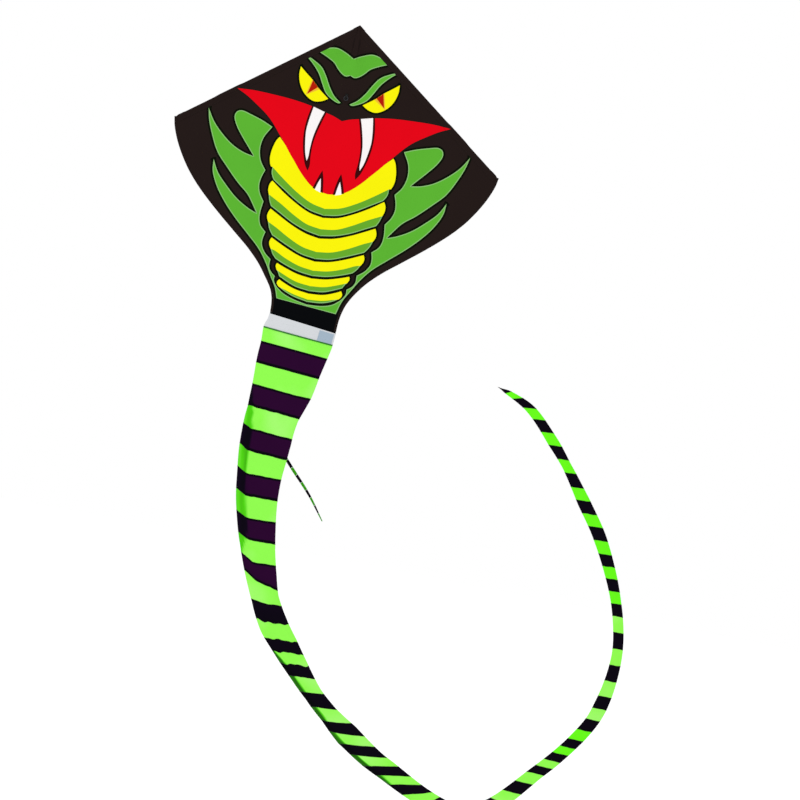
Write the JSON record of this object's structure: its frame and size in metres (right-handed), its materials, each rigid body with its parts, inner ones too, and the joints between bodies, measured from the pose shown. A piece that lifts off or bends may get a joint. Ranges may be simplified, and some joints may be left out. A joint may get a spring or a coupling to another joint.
{
  "type": "cobra kite",
  "caption": "Single-line kite: a hooded cobra head sail on a folding rod frame, with a long tapering striped tube tail.",
  "frame": {"origin": "centre of the tow ring, in front of the head, with the kite hanging nose up in flight attitude", "axes": "+Z along the spine to the nose, -Y out of the printed face towards the flyer, +X to the viewer's right"},
  "size_m": [1.8199, 0.042, 2.5731],
  "materials": {
    "printed_sail": "printed ripstop cloth",
    "black_webbing": "woven webbing",
    "tail_lime": "ripstop cloth",
    "tail_dark": "ripstop cloth",
    "cuff_cloth": "plain cloth",
    "patch_cloth": "plain cloth",
    "fibreglass": "satin",
    "vinyl": "satin",
    "blackened_steel": "satin"
  },
  "bodies": {
    "frame": {"centre_strip": "printed_sail", "spine_rod": "fibreglass", "upper_spine_sleeve": "black_webbing", "lower_spine_sleeve": "black_webbing", "nose_cap": "vinyl", "spine_end_cap": "vinyl", "centre_hub": "vinyl", "left_hub_arm": "vinyl", "right_hub_arm": "vinyl", "neck_batten": "fibreglass", "batten_pocket": "black_webbing", "tow_tab": "black_webbing", "neck_cuff": "cuff_cloth", "cuff_patch": "patch_cloth"},
    "left_wing": {"left_sail": "printed_sail", "left_leading_rod": "fibreglass", "left_upper_sleeve": "black_webbing", "left_lower_sleeve": "black_webbing", "left_tip_cap": "vinyl", "left_edge_connector": "vinyl", "left_upper_stop_ring": "vinyl", "left_lower_stop_ring": "vinyl", "left_spreader_rod": "fibreglass"},
    "right_wing": {"right_sail": "printed_sail", "right_leading_rod": "fibreglass", "right_upper_sleeve": "black_webbing", "right_lower_sleeve": "black_webbing", "right_tip_cap": "vinyl", "right_edge_connector": "vinyl", "right_upper_stop_ring": "vinyl", "right_lower_stop_ring": "vinyl", "right_spreader_rod": "fibreglass"},
    "tow_ring_body": {"tow_ring": "blackened_steel"},
    "tail_part_1": {"tail_1": "tail_lime", "tail_flex_1": "tail_dark"},
    "tail_part_2": {"tail_2": "tail_lime", "tail_flex_2": "tail_dark", "side_streamer": "tail_dark"},
    "tail_part_3": {"tail_3": "tail_lime", "tail_flex_3": "tail_dark"},
    "tail_part_4": {"tail_4": "tail_lime", "tail_flex_4": "tail_dark"},
    "tail_part_5": {"tail_5": "tail_lime", "tail_flex_5": "tail_dark"},
    "tail_part_6": {"tail_6": "tail_lime"}
  },
  "joints": [
    {"name": "left_wing_fold", "type": "hinge", "parent": "frame", "child": "left_wing", "pos_m": [-0.006, 0.012, 0], "axis": [0, 0, 1], "range_deg": [0, 70], "stiffness_Nm_per_rad": 0.6, "deforming": ["left_hub_arm"]},
    {"name": "right_wing_fold", "type": "hinge", "parent": "frame", "child": "right_wing", "pos_m": [0.006, 0.012, 0], "axis": [0, 0, -1], "range_deg": [0, 70], "stiffness_Nm_per_rad": 0.6, "deforming": ["right_hub_arm"]},
    {"name": "tow_ring_swing", "type": "hinge", "parent": "frame", "child": "tow_ring_body", "pos_m": [0, 0, 0.007], "axis": [-1, 0, 0], "range_deg": [-25, 80]},
    {"name": "neck_bend", "type": "hinge", "parent": "frame", "child": "tail_part_1", "pos_m": [-0.00247, 0.012, -0.79387], "axis": [-0.9942, 0, 0.1072], "range_deg": [-45, 45], "deforming": ["neck_cuff", "cuff_patch"]},
    {"name": "upper_tail_bend", "type": "hinge", "parent": "tail_part_1", "child": "tail_part_2", "pos_m": [-0.04827, 0.0196, -1.19304], "axis": [-0.9999, 0, 0.0165], "range_deg": [-25, 25], "deforming": ["tail_flex_1"]},
    {"name": "middle_tail_bend", "type": "hinge", "parent": "tail_part_2", "child": "tail_part_3", "pos_m": [0.04535, -0.004, -1.68939], "axis": [-0.9245, 0, -0.3813], "range_deg": [-25, 25], "deforming": ["tail_flex_2"]},
    {"name": "lower_tail_bend", "type": "hinge", "parent": "tail_part_3", "child": "tail_part_4", "pos_m": [0.38421, 0.02606, -2.08959], "axis": [-0.5991, 0, -0.8007], "range_deg": [-25, 25], "deforming": ["tail_flex_3"]},
    {"name": "tail_loop_bend", "type": "hinge", "parent": "tail_part_4", "child": "tail_part_5", "pos_m": [0.84998, 0.00395, -2.29079], "axis": [0.2086, 0, -0.978], "range_deg": [-20, 20], "stiffness_Nm_per_rad": 0.12, "deforming": ["tail_flex_4"]},
    {"name": "outer_tail_bend", "type": "hinge", "parent": "tail_part_5", "child": "tail_part_6", "pos_m": [1.23764, 0.02756, -1.56868], "axis": [0.9714, 0, 0.2373], "range_deg": [-20, 20], "stiffness_Nm_per_rad": 0.12, "deforming": ["tail_flex_5"]}
  ]
}
